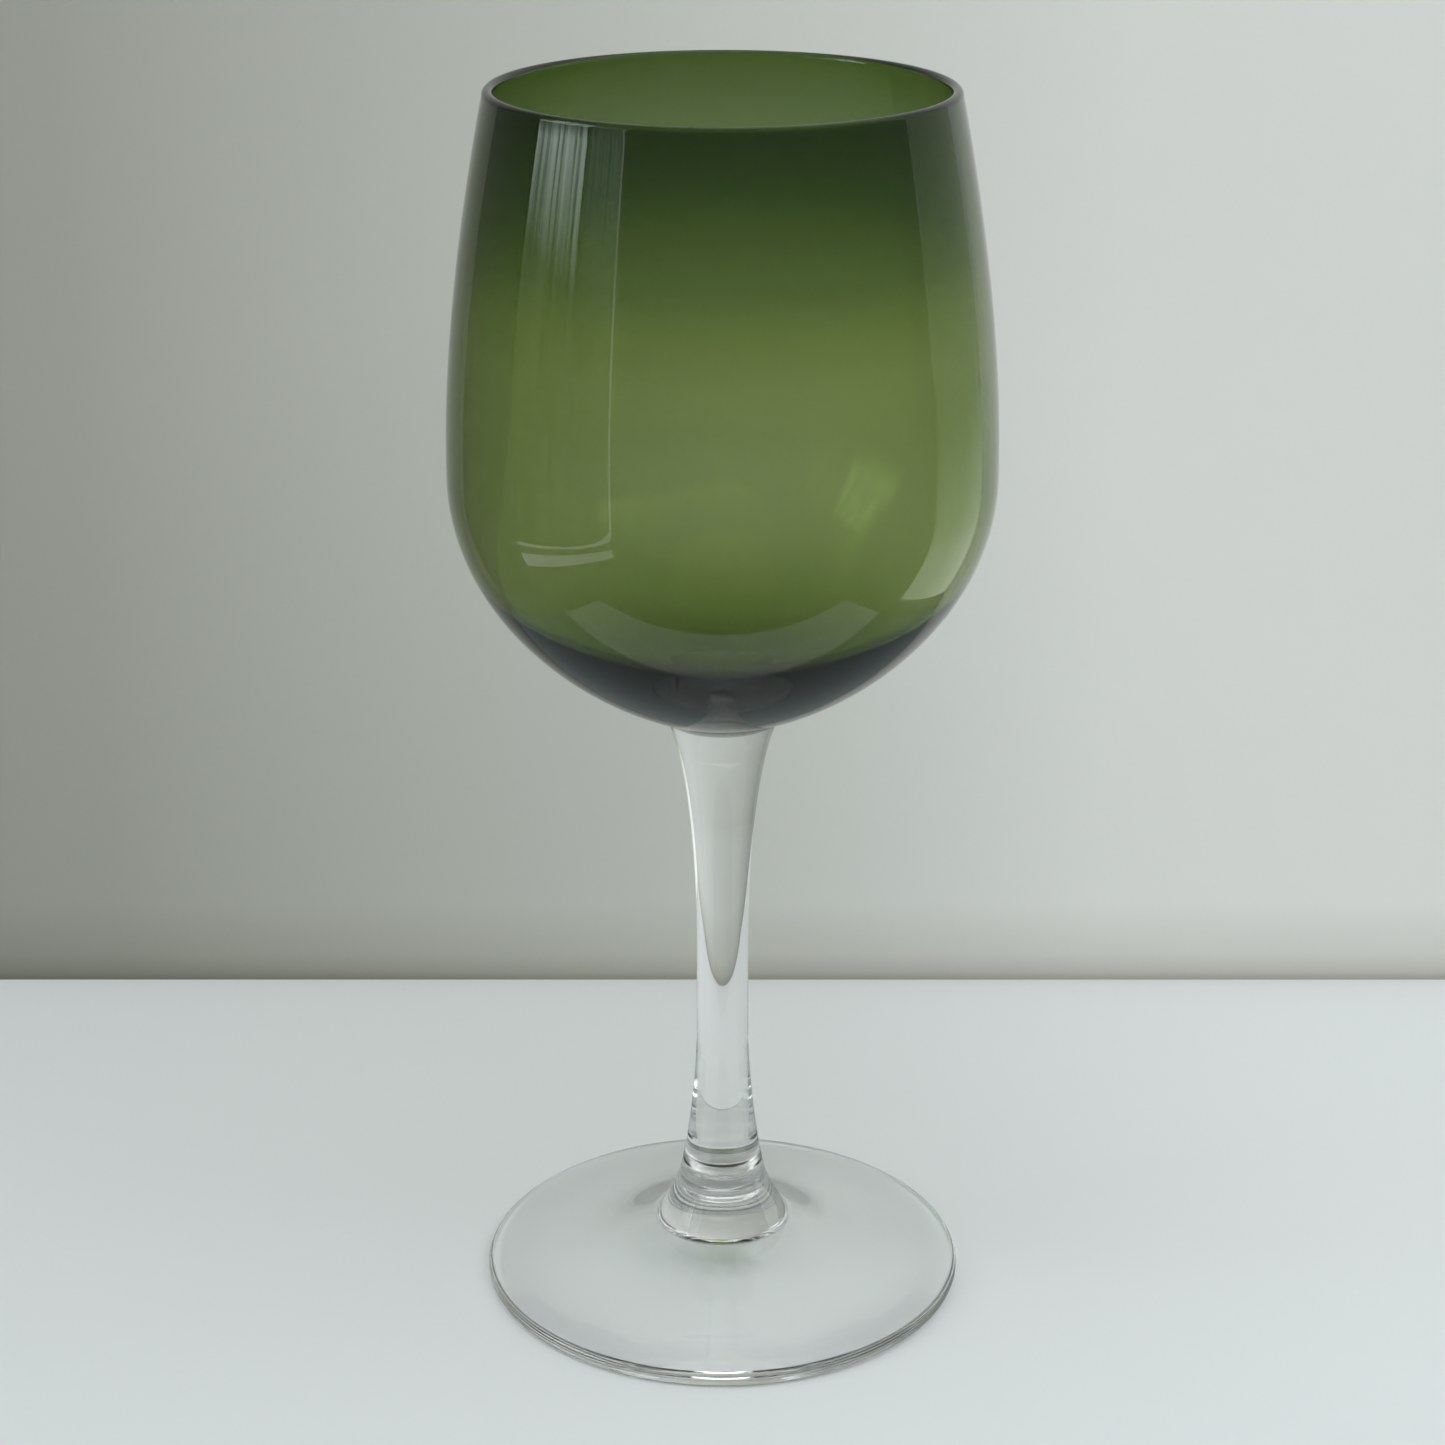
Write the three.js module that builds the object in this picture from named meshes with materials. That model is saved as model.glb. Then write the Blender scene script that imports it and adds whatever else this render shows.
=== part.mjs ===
// A stemmed wine glass in three pieces of glass, fused one above the other:
// an olive green bowl with a heavy bottom, a clear stem and a clear foot.
// Millimetres, +Z up. The origin is the centre of the plane that the foot rests on.

import * as THREE from 'three';

// ---- Driving dimensions ----

const TOTAL_HEIGHT = 210;

// Bowl, outside: widest at the belly, drawn in to the rim, closed by a round bottom.
const BELLY_RADIUS = 45;
const BELLY_HEIGHT = 147.6;
const RIM_RADIUS = 37.7;
const BOTTOM_HEIGHT = 103.7;

// Bowl, inside: an even wall that grows into the heavy bottom.
const RIM_THICKNESS = 1.9;
const BELLY_WALL = 2.2;
const BOTTOM_THICKNESS = 9.5;

// Stem: flared under the bowl, straight at the waist, flared again down to a small collar.
const STEM_TOP_RADIUS = 9.9;
const STEM_RADIUS = 4.5;
const STEM_WAIST_TOP = 66;
const STEM_WAIST_BOTTOM = 46;
const COLLAR_RADIUS = 7;
const COLLAR_HEIGHT = 0.7;
const STEM_END_HEIGHT = 20.6;

// The round face where the stem is fused to the foot, in the groove between collar and boss.
const JOINT_RADIUS = 6.6;

// Foot: a thin shallow cone with a round edge, and a bell-shaped boss that takes the stem.
// It rests on a flat ring, inside which the underside rises to a hollow under the boss.
const BOSS_RADIUS = 11;
const BOSS_HEIGHT = 11.1;
const BOSS_TOP_RADIUS = 7.3;
const BOSS_TOP_HEIGHT = 19.6;
const FOOT_RADIUS = 41.9;
const FOOT_EDGE_THICKNESS = 2.6;
const REST_RING_RADIUS = 36;
const UNDERSIDE_RISE = 7.6;

// Facets round the axis, and steps along each curve of a profile.
const ROUND_SEGMENTS = 48;
const LONG_CURVE_STEPS = 9;
const SHORT_CURVE_STEPS = 6;
const EDGE_STEPS = 4;
const FILLET_STEPS = 3;

// ---- Outlines: (radius, height) points in the half plane through the axis ----

const point = (radius, height) => new THREE.Vector2(radius, height);

// A cubic curve that leaves its start and reaches its end towards the two handles between them.
const curve = (start, startHandle, endHandle, end) =>
  new THREE.CubicBezierCurve(start, startHandle, endHandle, end);

// Points on part of a curve, both ends included.
function curveStretch(outline, from, to, steps) {
  const points = [];
  for (let step = 0; step <= steps; step += 1) {
    points.push(outline.getPoint(from + ((to - from) * step) / steps));
  }
  return points;
}

// Points on an arc, both ends included.
function arcPoints(centre, arcRadius, fromDegrees, toDegrees, steps) {
  const points = [];
  for (let step = 0; step <= steps; step += 1) {
    const angle = THREE.MathUtils.degToRad(fromDegrees + ((toDegrees - fromDegrees) * step) / steps);
    points.push(point(centre.x + arcRadius * Math.cos(angle), centre.y + arcRadius * Math.sin(angle)));
  }
  return points;
}

const PARAMETER_PRECISION = 1e-9;

// How far along a curve its radius reaches a value, for a curve whose radius only grows.
function parameterAtRadius(outline, radius) {
  let low = 0;
  let high = 1;
  while (high - low > PARAMETER_PRECISION) {
    const middle = (low + high) / 2;
    if (outline.getPoint(middle).x < radius) {
      low = middle;
    } else {
      high = middle;
    }
  }
  return low;
}

// Joins stretches end to end. Each starts where the last one ended, so that point is kept once.
function joined(...stretches) {
  const points = [...stretches[0]];
  for (const stretch of stretches.slice(1)) {
    points.push(...stretch.slice(1));
  }
  return points;
}

// ---- The face where the stem is fused to the bowl ----

const bottomOutside = curve(
  point(0, BOTTOM_HEIGHT),
  point(15, BOTTOM_HEIGHT),
  point(BELLY_RADIUS, BELLY_HEIGHT - 27),
  point(BELLY_RADIUS, BELLY_HEIGHT),
);
const fusedTo = parameterAtRadius(bottomOutside, STEM_TOP_RADIUS);
const fusedFace = curveStretch(bottomOutside, 0, fusedTo, EDGE_STEPS);
const fusedEdge = fusedFace[EDGE_STEPS];

// ---- Bowl ----

function bowlProfile() {
  const bottom = curveStretch(bottomOutside, fusedTo, 1, LONG_CURVE_STEPS);

  const lipRadius = RIM_THICKNESS / 2;
  const lipCentre = point(RIM_RADIUS - lipRadius, TOTAL_HEIGHT - lipRadius);
  const lip = arcPoints(lipCentre, lipRadius, 0, 180, EDGE_STEPS);
  const outerLip = lip[0];
  const innerLip = lip[EDGE_STEPS];

  const wallOutside = curve(
    point(BELLY_RADIUS, BELLY_HEIGHT),
    point(BELLY_RADIUS, BELLY_HEIGHT + 12),
    point(outerLip.x + 6.3, outerLip.y - 30.5),
    outerLip,
  );

  const innerBelly = point(BELLY_RADIUS - BELLY_WALL, BELLY_HEIGHT);
  const wallInside = curve(
    innerLip,
    point(innerLip.x + 6.1, innerLip.y - 30.5),
    point(innerBelly.x, innerBelly.y + 12),
    innerBelly,
  );

  const innerBottom = BOTTOM_HEIGHT + BOTTOM_THICKNESS;
  const bottomInside = curve(
    innerBelly,
    point(innerBelly.x, innerBelly.y - 25.5),
    point(20.5, innerBottom),
    point(0, innerBottom),
  );

  return joined(
    fusedFace,
    bottom,
    wallOutside.getPoints(SHORT_CURVE_STEPS),
    lip,
    wallInside.getPoints(SHORT_CURVE_STEPS),
    bottomInside.getPoints(LONG_CURVE_STEPS),
  );
}

// ---- Stem ----

function stemProfile() {
  const collarTop = point(COLLAR_RADIUS, STEM_END_HEIGHT + COLLAR_HEIGHT);
  const collar = curve(
    point(JOINT_RADIUS, STEM_END_HEIGHT),
    point(COLLAR_RADIUS, STEM_END_HEIGHT + 0.15),
    point(COLLAR_RADIUS, STEM_END_HEIGHT + 0.3),
    collarTop,
  );
  const lowerFlare = curve(
    collarTop,
    point(5.5, 28.4),
    point(STEM_RADIUS, 40.2),
    point(STEM_RADIUS, STEM_WAIST_BOTTOM),
  );
  const upperFlare = curve(
    point(STEM_RADIUS, STEM_WAIST_TOP),
    point(STEM_RADIUS, 71.7),
    point(5, 96.2),
    fusedEdge,
  );
  return joined(
    [point(0, STEM_END_HEIGHT), point(JOINT_RADIUS, STEM_END_HEIGHT)],
    collar.getPoints(FILLET_STEPS),
    lowerFlare.getPoints(LONG_CURVE_STEPS),
    [point(STEM_RADIUS, STEM_WAIST_BOTTOM), point(STEM_RADIUS, STEM_WAIST_TOP)],
    upperFlare.getPoints(LONG_CURVE_STEPS),
    [...fusedFace].reverse(),
  );
}

// ---- Foot ----

function footProfile() {
  const underside = curve(
    point(0, UNDERSIDE_RISE),
    point(13, UNDERSIDE_RISE),
    point(18, 0.8),
    point(REST_RING_RADIUS, 0),
  );

  const edgeRadius = FOOT_EDGE_THICKNESS / 2;
  const edgeCentre = point(FOOT_RADIUS - edgeRadius, edgeRadius);
  const edge = arcPoints(edgeCentre, edgeRadius, -90, 82, EDGE_STEPS);

  const slopeTop = point(BOSS_RADIUS + 1.5, BOSS_HEIGHT - 1.5);
  const bossBase = point(BOSS_RADIUS, BOSS_HEIGHT);
  const bossTop = point(BOSS_TOP_RADIUS, BOSS_TOP_HEIGHT);
  const topSlope = curve(edge[EDGE_STEPS], point(33, 3.5), point(18, 7.6), slopeTop);
  const fillet = curve(
    slopeTop,
    point(BOSS_RADIUS + 0.7, BOSS_HEIGHT - 1.2),
    point(BOSS_RADIUS + 0.3, BOSS_HEIGHT - 0.7),
    bossBase,
  );
  const boss = curve(bossBase, point(10.1, 13.2), point(7.9, 16.6), bossTop);
  const shoulder = curve(
    bossTop,
    point(7.2, 20.2),
    point(7, 20.45),
    point(JOINT_RADIUS, STEM_END_HEIGHT),
  );

  return joined(
    underside.getPoints(LONG_CURVE_STEPS),
    [point(REST_RING_RADIUS, 0), edge[0]],
    edge,
    topSlope.getPoints(SHORT_CURVE_STEPS),
    fillet.getPoints(FILLET_STEPS),
    boss.getPoints(SHORT_CURVE_STEPS),
    shoulder.getPoints(FILLET_STEPS),
    [point(JOINT_RADIUS, STEM_END_HEIGHT), point(0, STEM_END_HEIGHT)],
  );
}

// ---- Pieces ----

const GLASS_ROUGHNESS = 0.05;
const OLIVE_GREEN = 0x5f6b3c;
const CLEAR = 0xdfe6e4;

const glass = (colour) =>
  new THREE.MeshStandardMaterial({ color: colour, roughness: GLASS_ROUGHNESS, metalness: 0 });

// Turns a profile about the vertical axis. A lathe turns about +Y, so the piece is then stood up.
function turned(name, profile, colour) {
  const geometry = new THREE.LatheGeometry(profile, ROUND_SEGMENTS);
  geometry.rotateX(Math.PI / 2);
  const mesh = new THREE.Mesh(geometry, glass(colour));
  mesh.name = name;
  return mesh;
}

const wineGlass = new THREE.Group();
wineGlass.add(turned('bowl', bowlProfile(), OLIVE_GREEN));
wineGlass.add(turned('stem', stemProfile(), CLEAR));
wineGlass.add(turned('foot', footProfile(), CLEAR));

export default wineGlass;
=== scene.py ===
"""A stemmed wine glass: an olive green bowl with a heavy bottom, on a clear stem and foot.

Each piece is a closed body of glass, turned about the vertical axis from a smooth profile. The pieces are in
millimetres here and become metres in lathe(). Profile points are (radius, height above the table).
"""
import math

import bpy
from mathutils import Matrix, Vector


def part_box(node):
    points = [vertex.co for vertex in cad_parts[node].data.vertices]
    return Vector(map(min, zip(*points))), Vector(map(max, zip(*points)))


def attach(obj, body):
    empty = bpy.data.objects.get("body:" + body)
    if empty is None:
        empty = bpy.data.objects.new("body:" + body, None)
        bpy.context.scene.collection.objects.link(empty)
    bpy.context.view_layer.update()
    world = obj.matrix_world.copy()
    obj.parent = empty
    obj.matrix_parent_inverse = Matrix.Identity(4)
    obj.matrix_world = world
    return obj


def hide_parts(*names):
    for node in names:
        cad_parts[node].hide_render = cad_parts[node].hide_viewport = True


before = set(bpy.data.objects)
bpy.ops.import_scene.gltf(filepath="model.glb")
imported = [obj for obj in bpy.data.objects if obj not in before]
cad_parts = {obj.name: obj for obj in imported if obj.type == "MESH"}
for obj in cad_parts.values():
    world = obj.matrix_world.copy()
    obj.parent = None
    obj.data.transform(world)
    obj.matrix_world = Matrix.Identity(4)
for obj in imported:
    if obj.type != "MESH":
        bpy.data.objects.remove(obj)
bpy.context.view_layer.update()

MM = 0.001

# ---- The frame's driving sizes, in millimetres ----


def node_box(node):
    """The node's lowest and highest corner, in millimetres."""
    low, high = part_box(node)
    return Vector(low) / MM, Vector(high) / MM


bowl_low, bowl_high = node_box("bowl")
stem_low, stem_high = node_box("stem")
foot_low, foot_high = node_box("foot")

TOTAL_HEIGHT = bowl_high.z
BELLY_RADIUS = bowl_high.x
BOTTOM_HEIGHT = bowl_low.z
STEM_TOP_RADIUS = stem_high.x
STEM_END_HEIGHT = stem_low.z
FOOT_RADIUS = foot_high.x

BELLY_HEIGHT = 147.6
RIM_RADIUS = 37.7
RIM_THICKNESS = 1.9
BELLY_WALL = 2.2
BOTTOM_THICKNESS = 9.5

STEM_RADIUS = 4.5
STEM_WAIST_TOP = 66.0
STEM_WAIST_BOTTOM = 46.0
COLLAR_RADIUS = 7.0
COLLAR_HEIGHT = 0.7
JOINT_RADIUS = 6.6

BOSS_RADIUS = 11.0
BOSS_HEIGHT = 11.1
BOSS_TOP = (7.3, 19.6)
FOOT_EDGE_THICKNESS = 2.6
REST_RING_RADIUS = 36.0
UNDERSIDE_RISE = 7.6

# How far two fused pieces run into each other, so that no film of air is left between them.
FUSED_OVERLAP = 0.06

# Facets round the axis, and steps along the curves of a profile.
ROUND_SEGMENTS = 256
BOTTOM_OUTSIDE_STEPS = 90
BOTTOM_INSIDE_STEPS = 80
LONG_CURVE_STEPS = 48
STEM_FLARE_STEPS = 40
BOSS_STEPS = 32
EDGE_STEPS = 24
COLLAR_STEPS = 16
FILLET_STEPS = 12
SHOULDER_STEPS = 10

# An edge between faces at a wider angle than this is sharp.
SHARP_ANGLE = math.radians(35)

# ---- Profiles ----


def cubic(start, start_handle, end_handle, end, steps, first=0.0, last=1.0):
    """Points on a cubic curve from parameter first to last, both ends included."""
    points = []
    for step in range(steps + 1):
        t = first + (last - first) * step / steps
        weights = ((1 - t) ** 3, 3 * (1 - t) ** 2 * t, 3 * (1 - t) * t * t, t ** 3)
        controls = (start, start_handle, end_handle, end)
        points.append(tuple(sum(w * c[k] for w, c in zip(weights, controls)) for k in (0, 1)))
    return points


def arc(centre, radius, from_degrees, to_degrees, steps):
    """Points on an arc, both ends included."""
    points = []
    for step in range(steps + 1):
        angle = math.radians(from_degrees + (to_degrees - from_degrees) * step / steps)
        points.append((centre[0] + radius * math.cos(angle), centre[1] + radius * math.sin(angle)))
    return points


def joined(*stretches):
    """Stretches end to end, with each shared point kept once."""
    points = list(stretches[0])
    for stretch in stretches[1:]:
        points.extend(stretch[1:])
    return points


BOTTOM_OUTSIDE = (
    (0.0, BOTTOM_HEIGHT),
    (15.0, BOTTOM_HEIGHT),
    (BELLY_RADIUS, BELLY_HEIGHT - 27.0),
    (BELLY_RADIUS, BELLY_HEIGHT),
)
PARAMETER_PRECISION = 1e-9


def fused_parameter():
    """Where the bowl's bottom curve reaches the radius of the stem's top edge."""
    low, high = 0.0, 1.0
    while high - low > PARAMETER_PRECISION:
        middle = (low + high) / 2
        if cubic(*BOTTOM_OUTSIDE, 1, 0.0, middle)[1][0] < STEM_TOP_RADIUS:
            low = middle
        else:
            high = middle
    return low


FUSED_TO = fused_parameter()


def bowl_profile():
    bottom_outside = cubic(*BOTTOM_OUTSIDE, BOTTOM_OUTSIDE_STEPS)
    lip_radius = RIM_THICKNESS / 2
    lip_centre = (RIM_RADIUS - lip_radius, TOTAL_HEIGHT - lip_radius)
    lip = arc(lip_centre, lip_radius, 0, 180, EDGE_STEPS)
    outer_lip, inner_lip = lip[0], lip[-1]
    wall_outside = cubic(
        (BELLY_RADIUS, BELLY_HEIGHT),
        (BELLY_RADIUS, BELLY_HEIGHT + 12.0),
        (outer_lip[0] + 6.3, outer_lip[1] - 30.5),
        outer_lip, LONG_CURVE_STEPS)
    inner_belly = (BELLY_RADIUS - BELLY_WALL, BELLY_HEIGHT)
    wall_inside = cubic(
        inner_lip,
        (inner_lip[0] + 6.1, inner_lip[1] - 30.5),
        (inner_belly[0], inner_belly[1] + 12.0),
        inner_belly, LONG_CURVE_STEPS)
    inner_bottom = BOTTOM_HEIGHT + BOTTOM_THICKNESS
    bottom_inside = cubic(
        inner_belly,
        (inner_belly[0], inner_belly[1] - 25.5),
        (20.5, inner_bottom),
        (0.0, inner_bottom), BOTTOM_INSIDE_STEPS)
    return joined(bottom_outside, wall_outside, lip, wall_inside, bottom_inside)


def stem_profile():
    collar_top = (COLLAR_RADIUS, STEM_END_HEIGHT + COLLAR_HEIGHT)
    collar = cubic(
        (JOINT_RADIUS, STEM_END_HEIGHT),
        (COLLAR_RADIUS, STEM_END_HEIGHT + 0.15),
        (COLLAR_RADIUS, STEM_END_HEIGHT + 0.3),
        collar_top, COLLAR_STEPS)
    lower_flare = cubic(
        collar_top,
        (5.5, 28.4),
        (STEM_RADIUS, 40.2),
        (STEM_RADIUS, STEM_WAIST_BOTTOM), STEM_FLARE_STEPS)
    fused_face = cubic(*BOTTOM_OUTSIDE, EDGE_STEPS, FUSED_TO, 0.0)
    fused_face = [(radius, height + FUSED_OVERLAP) for radius, height in fused_face]
    upper_flare = cubic(
        (STEM_RADIUS, STEM_WAIST_TOP),
        (STEM_RADIUS, 71.7),
        (5.0, 96.2),
        fused_face[0], LONG_CURVE_STEPS)
    return joined(
        [(0.0, STEM_END_HEIGHT), (JOINT_RADIUS, STEM_END_HEIGHT)],
        collar,
        lower_flare,
        [(STEM_RADIUS, STEM_WAIST_BOTTOM), (STEM_RADIUS, STEM_WAIST_TOP)],
        upper_flare,
        fused_face)


def foot_profile():
    underside = cubic(
        (0.0, UNDERSIDE_RISE),
        (13.0, UNDERSIDE_RISE),
        (18.0, 0.8),
        (REST_RING_RADIUS, 0.0), LONG_CURVE_STEPS)
    edge_radius = FOOT_EDGE_THICKNESS / 2
    edge = arc((FOOT_RADIUS - edge_radius, edge_radius), edge_radius, -90, 82, EDGE_STEPS)
    slope_top = (BOSS_RADIUS + 1.5, BOSS_HEIGHT - 1.5)
    top_slope = cubic(edge[-1], (33.0, 3.5), (18.0, 7.6), slope_top, LONG_CURVE_STEPS)
    boss_base = (BOSS_RADIUS, BOSS_HEIGHT)
    fillet = cubic(
        slope_top,
        (BOSS_RADIUS + 0.7, BOSS_HEIGHT - 1.2),
        (BOSS_RADIUS + 0.3, BOSS_HEIGHT - 0.7),
        boss_base, FILLET_STEPS)
    boss = cubic(boss_base, (10.1, 13.2), (7.9, 16.6), BOSS_TOP, BOSS_STEPS)
    seat = STEM_END_HEIGHT + FUSED_OVERLAP
    shoulder = cubic(BOSS_TOP, (7.2, 20.2), (7.0, 20.45), (JOINT_RADIUS, seat), SHOULDER_STEPS)
    return joined(
        underside,
        [(REST_RING_RADIUS, 0.0), edge[0]],
        edge,
        top_slope,
        fillet,
        boss,
        shoulder,
        [(JOINT_RADIUS, seat), (0.0, seat)])


def lathe(name, profile):
    """A closed body turned about the vertical axis. The profile starts and ends on the axis."""
    vertices = [(0.0, 0.0, profile[0][1] * MM)]
    ring_points = profile[1:-1]
    for radius, height in ring_points:
        for segment in range(ROUND_SEGMENTS):
            angle = 2 * math.pi * segment / ROUND_SEGMENTS
            vertices.append((radius * math.cos(angle) * MM, radius * math.sin(angle) * MM, height * MM))
    vertices.append((0.0, 0.0, profile[-1][1] * MM))

    faces = []
    last = len(vertices) - 1
    last_ring = 1 + (len(ring_points) - 1) * ROUND_SEGMENTS
    for segment in range(ROUND_SEGMENTS):
        following = (segment + 1) % ROUND_SEGMENTS
        faces.append((0, 1 + following, 1 + segment))
        for ring in range(len(ring_points) - 1):
            here = 1 + ring * ROUND_SEGMENTS
            above = here + ROUND_SEGMENTS
            faces.append((here + segment, here + following, above + following, above + segment))
        faces.append((last_ring + segment, last_ring + following, last))

    mesh = bpy.data.meshes.new(name)
    mesh.from_pydata(vertices, [], faces)
    mesh.validate()
    mesh.shade_smooth()
    mesh.set_sharp_from_angle(angle=SHARP_ANGLE)
    piece = bpy.data.objects.new(name, mesh)
    bpy.context.scene.collection.objects.link(piece)
    return piece


# ---- Nodes that the materials share ----


def new_material(name):
    material = bpy.data.materials.new(name)
    material.use_nodes = True
    nodes = material.node_tree.nodes
    nodes.clear()
    return material, nodes, material.node_tree.links


def noise_on(nodes, links, stretch, detail):
    """Noise over the object's own coordinates in metres, with stretch as its scale along X, Y and Z."""
    place = nodes.new("ShaderNodeTexCoord")
    mapping = nodes.new("ShaderNodeMapping")
    mapping.inputs["Scale"].default_value = stretch
    links.new(place.outputs["Object"], mapping.inputs["Vector"])
    noise = nodes.new("ShaderNodeTexNoise")
    noise.inputs["Scale"].default_value = 1.0
    noise.inputs["Detail"].default_value = detail
    links.new(mapping.outputs["Vector"], noise.inputs["Vector"])
    return noise.outputs["Fac"]


def map_range(nodes, links, value, before, after):
    """The value, with the range before stretched over the range after. It stops at the ends of after."""
    mapped = nodes.new("ShaderNodeMapRange")
    mapped.inputs["From Min"].default_value = before[0]
    mapped.inputs["From Max"].default_value = before[1]
    mapped.inputs["To Min"].default_value = after[0]
    mapped.inputs["To Max"].default_value = after[1]
    links.new(value, mapped.inputs["Value"])
    return mapped.outputs["Result"]


def ramp_along(nodes, links, stops, axis):
    """A colour that runs through stops of (place in metres, colour) along one axis of the object."""
    place = nodes.new("ShaderNodeTexCoord")
    split = nodes.new("ShaderNodeSeparateXYZ")
    links.new(place.outputs["Object"], split.inputs["Vector"])
    first, last = stops[0][0], stops[-1][0]
    along = map_range(nodes, links, split.outputs[axis], (first, last), (0.0, 1.0))
    ramp = nodes.new("ShaderNodeValToRGB")
    elements = ramp.color_ramp.elements
    while len(elements) < len(stops):
        elements.new(0.5)
    for element, (level, colour) in zip(elements, stops):
        element.position = (level - first) / (last - first)
        element.color = (*colour, 1)
    links.new(along, ramp.inputs["Fac"])
    return ramp.outputs["Color"]


def multiplied(nodes, links, first, second):
    mix = nodes.new("ShaderNodeMix")
    mix.data_type = "RGBA"
    mix.blend_type = "MULTIPLY"
    mix.inputs["Factor"].default_value = 1.0
    links.new(first, mix.inputs["A"])
    links.new(second, mix.inputs["B"])
    return mix.outputs["Result"]


def front_only(nodes, links, shader):
    """The shader on the front of a sheet, and nothing on its back."""
    geometry = nodes.new("ShaderNodeNewGeometry")
    clear = nodes.new("ShaderNodeBsdfTransparent")
    mix = nodes.new("ShaderNodeMixShader")
    links.new(geometry.outputs["Backfacing"], mix.inputs["Fac"])
    links.new(shader, mix.inputs[1])
    links.new(clear.outputs["BSDF"], mix.inputs[2])
    return mix.outputs["Shader"]


# ---- Glass ----

GLASS_IOR = 1.52

# Faint smears: noise of this scale, whose values over a range become roughnesses over a range.
SMEAR_SCALE = 70.0
SMEAR_DETAIL = 3.0
SMEAR_NOISE = (0.35, 0.75)
SMEAR_ROUGHNESS = (0.01, 0.05)
RIPPLE_DETAIL = 1.0


def glass_material(name, colour, density, ripple_scale, ripple_depth, tint_stops=None):
    """Solid glass with faint ripples and smears. Its colour comes from the depth of glass that light crosses.

    ripple_scale is ripples per metre round and up the piece, and ripple_depth their depth in metres.
    tint_stops darken its surface along Z, as stops of (height in millimetres, colour).
    """
    material, nodes, links = new_material(name)
    output = nodes.new("ShaderNodeOutputMaterial")
    surface = nodes.new("ShaderNodeBsdfPrincipled")
    surface.inputs["Base Color"].default_value = (1, 1, 1, 1)
    surface.inputs["IOR"].default_value = GLASS_IOR
    surface.inputs["Transmission Weight"].default_value = 1.0
    links.new(surface.outputs["BSDF"], output.inputs["Surface"])

    volume = nodes.new("ShaderNodeVolumeAbsorption")
    volume.inputs["Color"].default_value = (*colour, 1)
    volume.inputs["Density"].default_value = density
    links.new(volume.outputs["Volume"], output.inputs["Volume"])

    round_piece, up_piece = ripple_scale
    bump = nodes.new("ShaderNodeBump")
    bump.inputs["Strength"].default_value = 1.0
    bump.inputs["Distance"].default_value = ripple_depth
    ripples = noise_on(nodes, links, (round_piece, round_piece, up_piece), RIPPLE_DETAIL)
    links.new(ripples, bump.inputs["Height"])
    links.new(bump.outputs["Normal"], surface.inputs["Normal"])

    smears = noise_on(nodes, links, (SMEAR_SCALE, SMEAR_SCALE, SMEAR_SCALE), SMEAR_DETAIL)
    roughness = map_range(nodes, links, smears, SMEAR_NOISE, SMEAR_ROUGHNESS)
    links.new(roughness, surface.inputs["Roughness"])

    if tint_stops:
        stops = [(level * MM, tint) for level, tint in tint_stops]
        links.new(ramp_along(nodes, links, stops, "Z"), surface.inputs["Base Color"])
    return material


# The bowl is evenly green up to its shoulder and shades into dark green at the rim.
green_glass = glass_material(
    "green_glass",
    colour=(0.50, 0.60, 0.16),
    density=560.0,
    ripple_scale=(170.0, 14.0),
    ripple_depth=0.00001,
    tint_stops=(
        (160.0, (1.0, 1.0, 1.0)),
        (172.0, (0.93, 0.94, 0.86)),
        (179.0, (0.75, 0.80, 0.59)),
        (186.0, (0.46, 0.55, 0.39)),
        (192.0, (0.37, 0.45, 0.30)),
        (198.0, (0.29, 0.37, 0.24)),
        (208.0, (0.17, 0.24, 0.09))))

CLEAR_COLOUR = (0.9, 0.97, 0.95)
CLEAR_DENSITY = 2.0

clear_glass_stem = glass_material(
    "clear_glass_stem", CLEAR_COLOUR, CLEAR_DENSITY, ripple_scale=(150.0, 25.0), ripple_depth=0.00001)
clear_glass_foot = glass_material(
    "clear_glass_foot", CLEAR_COLOUR, CLEAR_DENSITY, ripple_scale=(60.0, 60.0), ripple_depth=0.00002)

# ---- The glass ----


def add_piece(name, profile, material, node):
    piece = lathe(name, profile)
    piece.data.materials.append(material)
    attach(piece, "root")
    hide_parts(node)
    return piece


add_piece("bowl_glass", bowl_profile(), green_glass, "bowl")
add_piece("stem_glass", stem_profile(), clear_glass_stem, "stem")
add_piece("foot_glass", foot_profile(), clear_glass_foot, "foot")

# ---- The set: a pale floor, and a pale back wall that can be seen through from behind. In metres ----

# The floor is a hair below the foot. The wall stands behind the glass, with painted shade that darkens it
# towards the left and just above the floor, so that it looks lit on its right.
FLOOR_HEIGHT = -0.0001
FLOOR_REACH = 12.0
WALL_DISTANCE = 0.117
WALL_REACH = 1.6
WALL_TOP = 1.2

# The part of the floor that the glass mirrors, and the part behind it where the glass mirrors painted shade.
SHELF_FRONT = -0.108
SHELF_BACK = -0.03
SHELF_SIDE = 0.15

PAINT_ROUGHNESS = 0.6
WALL_ROUGHNESS = 0.8
PALE = (0.705, 0.725, 0.745)
SHADE_IN_MIRROR = 0.6


def grey(level):
    return (level, level, level)


def even(colour):
    """Stops of the same colour, for a paint or a glow that doesn't change."""
    return ((0.0, colour), (1.0, colour))


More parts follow.
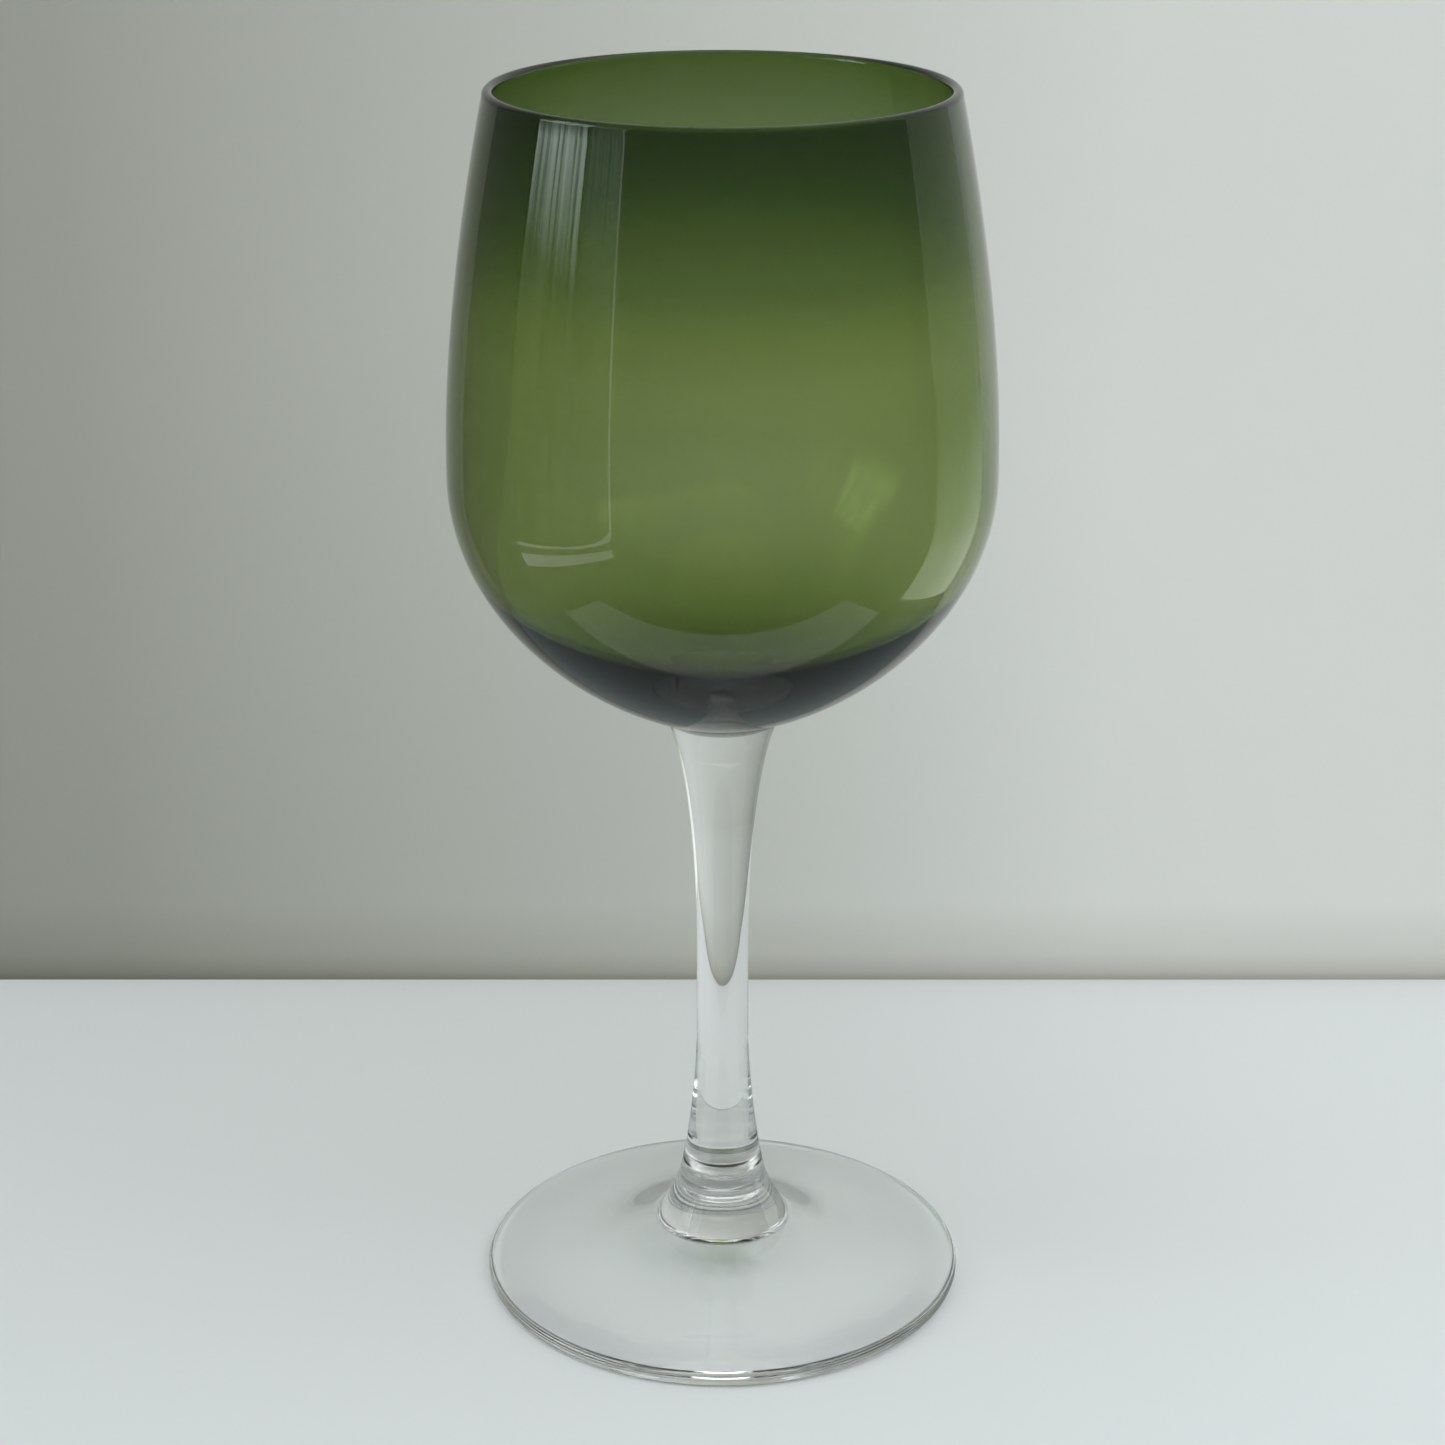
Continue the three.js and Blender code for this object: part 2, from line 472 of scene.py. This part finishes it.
def paint_material(name, across, up, roughness, mirrored=1.0):
    """Matt paint. across gives its colour along X, which can carry painted shade, and up a painted shade over
    it along Z, both as stops in metres.

    mirrored is a painted shade: how many times as bright it looks to light that a piece of glass has
    mirrored.
    """
    material, nodes, links = new_material(name)
    output = nodes.new("ShaderNodeOutputMaterial")
    surface = nodes.new("ShaderNodeBsdfPrincipled")
    surface.inputs["Roughness"].default_value = roughness
    along_x = ramp_along(nodes, links, across, "X")
    along_z = ramp_along(nodes, links, up, "Z")
    colour = multiplied(nodes, links, along_x, along_z)
    # Painted shade: the paint is dimmed for light that a piece of glass has mirrored.
    if mirrored < 1.0:
        path = nodes.new("ShaderNodeLightPath")
        dimmer = map_range(nodes, links, path.outputs["Glossy Depth"], (0.0, 1.0), (1.0, mirrored))
        colour = multiplied(nodes, links, colour, dimmer)
    links.new(colour, surface.inputs["Base Color"])
    seen = front_only(nodes, links, surface.outputs["BSDF"])
    links.new(seen, output.inputs["Surface"])
    return material


def add_sheet(name, corners, material):
    mesh = bpy.data.meshes.new(name)
    mesh.from_pydata(corners, [], [tuple(range(len(corners)))])
    sheet = bpy.data.objects.new(name, mesh)
    sheet.data.materials.append(material)
    bpy.context.scene.collection.objects.link(sheet)
    return sheet


def level_sheet(name, left, right, front, back, material):
    corners = [(left, front), (right, front), (right, back), (left, back)]
    return add_sheet(name, [(x, y, FLOOR_HEIGHT) for x, y in corners], material)


def side_sheet(name, place, front, back, bottom, top, material):
    """An upright sheet across X. Its front faces the glass, which stands at X = 0."""
    corners = [(front, bottom), (back, bottom), (back, top), (front, top)]
    if place > 0:
        corners.reverse()
    return add_sheet(name, [(place, y, z) for y, z in corners], material)


pale_paint = paint_material("pale_paint", even(PALE), even(grey(1.0)), PAINT_ROUGHNESS)
# Painted shade for the floor under and behind the bowl: it looks darker where it is seen after a mirroring in
# the glass.
shaded_paint = paint_material(
    "shaded_paint", even(PALE), even(grey(1.0)), PAINT_ROUGHNESS, mirrored=SHADE_IN_MIRROR)
# The wall's paint carries painted shade: darker towards the left, and a painted contact shade just above the
# floor.
painted_shade_wall_paint = paint_material(
    "painted_shade_wall_paint",
    across=(
        (-0.30, (0.20, 0.20, 0.18)),
        (-0.13, (0.40, 0.40, 0.36)),
        (-0.07, (0.55, 0.55, 0.51)),
        (0.0, (0.73, 0.73, 0.70)),
        (0.08, (0.86, 0.86, 0.84))),
    up=(
        (0.0, (0.50, 0.47, 0.43)),
        (0.002, (0.70, 0.68, 0.65)),
        (0.006, (0.86, 0.85, 0.83)),
        (0.018, grey(1.0))),
    roughness=WALL_ROUGHNESS)

# The glass mirrors the shelf. It doesn't mirror the floor round the shelf, which fills every view.
level_sheet("shelf", -SHELF_SIDE, SHELF_SIDE, SHELF_FRONT, SHELF_BACK, pale_paint)
around = (
    level_sheet("floor_under", -SHELF_SIDE, SHELF_SIDE, SHELF_BACK, WALL_DISTANCE, shaded_paint),
    level_sheet("floor_front", -FLOOR_REACH, FLOOR_REACH, -FLOOR_REACH, SHELF_FRONT, pale_paint),
    level_sheet("floor_left", -FLOOR_REACH, -SHELF_SIDE, SHELF_FRONT, WALL_DISTANCE, pale_paint),
    level_sheet("floor_right", SHELF_SIDE, FLOOR_REACH, SHELF_FRONT, WALL_DISTANCE, pale_paint),
    level_sheet("floor_back", -FLOOR_REACH, FLOOR_REACH, WALL_DISTANCE, FLOOR_REACH, pale_paint),
)
for sheet in around:
    sheet.visible_glossy = False

add_sheet(
    "wall",
    [(-WALL_REACH, WALL_DISTANCE, FLOOR_HEIGHT), (WALL_REACH, WALL_DISTANCE, FLOOR_HEIGHT),
     (WALL_REACH, WALL_DISTANCE, WALL_TOP), (-WALL_REACH, WALL_DISTANCE, WALL_TOP)],
    painted_shade_wall_paint)

# ---- Glowing panels, which the camera doesn't see ----

# The glass stands in an alcove, whose sides reach from its front back to the wall.
ALCOVE_SIDE = 0.18
ALCOVE_FRONT = -0.01

WINDOW_DISTANCE = 0.9
WINDOW_SILL = -0.2
WINDOW_TOP = 0.9
SILL_BAND = (-0.36, -0.27)
SILL_LIP_DEPTH = 0.02

# Where the window's parts begin and end along Y. The mullion is left dark between the two panes.
WINDOW_NEAR = -0.97 * WINDOW_DISTANCE
WINDOW_FAR = 0.05 * WINDOW_DISTANCE
MULLION = -0.50 * WINDOW_DISTANCE
MULLION_HALF_WIDTH = 0.012
JAMB_NEAR = WINDOW_NEAR - 0.025

STREAK_STRETCH = (0.0, 26.0, 2.5)
STREAK_DETAIL = 4.0
STREAK_NOISE = (0.35, 0.6)


def glow_material(name, up, streaks=0.0):
    """A glowing panel. up gives its brightness along Z, and streaks how much upright streaks dim it."""
    material, nodes, links = new_material(name)
    output = nodes.new("ShaderNodeOutputMaterial")
    glow = nodes.new("ShaderNodeEmission")
    glow.inputs["Strength"].default_value = 1.0
    links.new(ramp_along(nodes, links, up, "Z"), glow.inputs["Color"])
    if streaks > 0.0:
        noise = noise_on(nodes, links, STREAK_STRETCH, STREAK_DETAIL)
        dimmer = map_range(nodes, links, noise, STREAK_NOISE, (1.0 - streaks, 1.0))
        links.new(dimmer, glow.inputs["Strength"])
    seen = front_only(nodes, links, glow.outputs["Emission"])
    links.new(seen, output.inputs["Surface"])
    return material


def only_for_glass(panel, through_glass):
    """Keeps a panel's glow off the set. through_glass says if it shows through the glass as well as in it."""
    panel.visible_camera = False
    panel.visible_diffuse = False
    panel.visible_shadow = False
    panel.visible_transmission = through_glass


# Under the bowl, a dim glowing sheet that only the glass mirrors is painted shade: it stands for the bowl's
# own shade.
painted_shade_glow = glow_material("shade_under", even((0.25, 0.30, 0.29)))
painted_shade_sheet = level_sheet("shade_under", -SHELF_SIDE, SHELF_SIDE, SHELF_BACK, WALL_DISTANCE, painted_shade_glow)
only_for_glass(painted_shade_sheet, through_glass=False)

# The alcove's sides: the left one in shade, the right one lit by the window.
shade = glow_material("shade", even(grey(0.15)))
lit = glow_material(
    "lit", (
        (0.06, (1.2, 1.25, 1.2)),
        (0.09, (0.95, 1.05, 0.9)),
        (0.13, (0.47, 0.54, 0.42)),
        (0.4, (0.42, 0.46, 0.44))))
shaded_side = side_sheet("shaded_side", -ALCOVE_SIDE, ALCOVE_FRONT, WALL_DISTANCE, 0.0, WALL_TOP, shade)
only_for_glass(shaded_side, through_glass=False)
lit_side = side_sheet("lit_side", ALCOVE_SIDE, ALCOVE_FRONT, WALL_DISTANCE, 0.0, WALL_TOP, lit)
only_for_glass(lit_side, through_glass=True)

# A tall window on the left: two panes, brightest at the top, with a light frame and sill.
bright_pane = glow_material(
    "bright_pane", (
        (0.10, (0.30, 0.33, 0.24)),
        (0.20, (0.55, 0.6, 0.5)),
        (0.26, (2.2, 2.6, 2.4)),
        (0.32, (3.8, 4.3, 4.2))),
    streaks=0.8)
soft_pane = glow_material(
    "soft_pane", (
        (0.15, (0.30, 0.33, 0.24)),
        (0.40, (0.8, 0.95, 0.9))),
    streaks=0.5)
frame_glow = glow_material("frame_glow", even(grey(1.5)))


def window_part(name, near, far, bottom, top, material):
    part = side_sheet(name, -WINDOW_DISTANCE, near, far, bottom, top, material)
    part.visible_camera = False


window_part("pane_far", MULLION + MULLION_HALF_WIDTH, WINDOW_FAR, WINDOW_SILL, WINDOW_TOP, bright_pane)
window_part("pane_near", WINDOW_NEAR, MULLION - MULLION_HALF_WIDTH, WINDOW_SILL, WINDOW_TOP, soft_pane)
window_part("jamb", JAMB_NEAR, WINDOW_NEAR, WINDOW_SILL, WINDOW_TOP, frame_glow)
window_part("sill_lip", JAMB_NEAR, WINDOW_FAR, WINDOW_SILL - SILL_LIP_DEPTH, WINDOW_SILL, frame_glow)
window_part("sill", JAMB_NEAR, WINDOW_FAR, *SILL_BAND, frame_glow)

# ---- Light: a large soft lamp overhead, which the glass doesn't mirror, in a dim room ----

OVERHEAD_PLACE = (0.3, -0.5, 1.8)
OVERHEAD_SIZE = (2.8, 2.6)
OVERHEAD_WATTS = 42.0
OVERHEAD_COLOUR = (0.98, 1.0, 1.0)
ROOM_COLOUR = (0.95, 1.0, 0.97)
ROOM_STRENGTH = 0.22

overhead = bpy.data.lights.new("overhead", "AREA")
overhead.shape = "RECTANGLE"
overhead.size, overhead.size_y = OVERHEAD_SIZE
overhead.energy = OVERHEAD_WATTS
overhead.color = OVERHEAD_COLOUR
lamp = bpy.data.objects.new("overhead", overhead)
lamp.location = OVERHEAD_PLACE
lamp.rotation_euler = (-lamp.location).to_track_quat("-Z", "Y").to_euler()
lamp.visible_camera = False
lamp.visible_glossy = False
bpy.context.scene.collection.objects.link(lamp)

world = bpy.data.worlds.new("room")
world.use_nodes = True
world.node_tree.nodes["Background"].inputs["Color"].default_value = (*ROOM_COLOUR, 1)
world.node_tree.nodes["Background"].inputs["Strength"].default_value = ROOM_STRENGTH
bpy.context.scene.world = world

# ---- Camera: the place, pitch and focal length solved from the photo ----

CAMERA_PLACE = (0.0, -0.4906, 0.2898)
CAMERA_PITCH = math.radians(20.79)
PHOTO_WIDTH_PIXELS = 1445
FOCAL_LENGTH_PIXELS = 3115.2

camera = bpy.data.cameras.new("camera")
camera.sensor_fit = "HORIZONTAL"
camera.angle = 2 * math.atan(PHOTO_WIDTH_PIXELS / 2 / FOCAL_LENGTH_PIXELS)
viewer = bpy.data.objects.new("camera", camera)
viewer.location = CAMERA_PLACE
viewer.rotation_euler = (math.pi / 2 - CAMERA_PITCH, 0, 0)
bpy.context.scene.collection.objects.link(viewer)
bpy.context.scene.camera = viewer

# Light crosses and is mirrored by many faces of glass, and stays sharp on the way.
GLASS_BOUNCES = 24
MIRROR_BOUNCES = 12

scene = bpy.context.scene
scene.cycles.blur_glossy = 0.0
scene.cycles.max_bounces = GLASS_BOUNCES
scene.cycles.transmission_bounces = GLASS_BOUNCES
scene.cycles.glossy_bounces = MIRROR_BOUNCES
scene.view_settings.view_transform = "Standard"
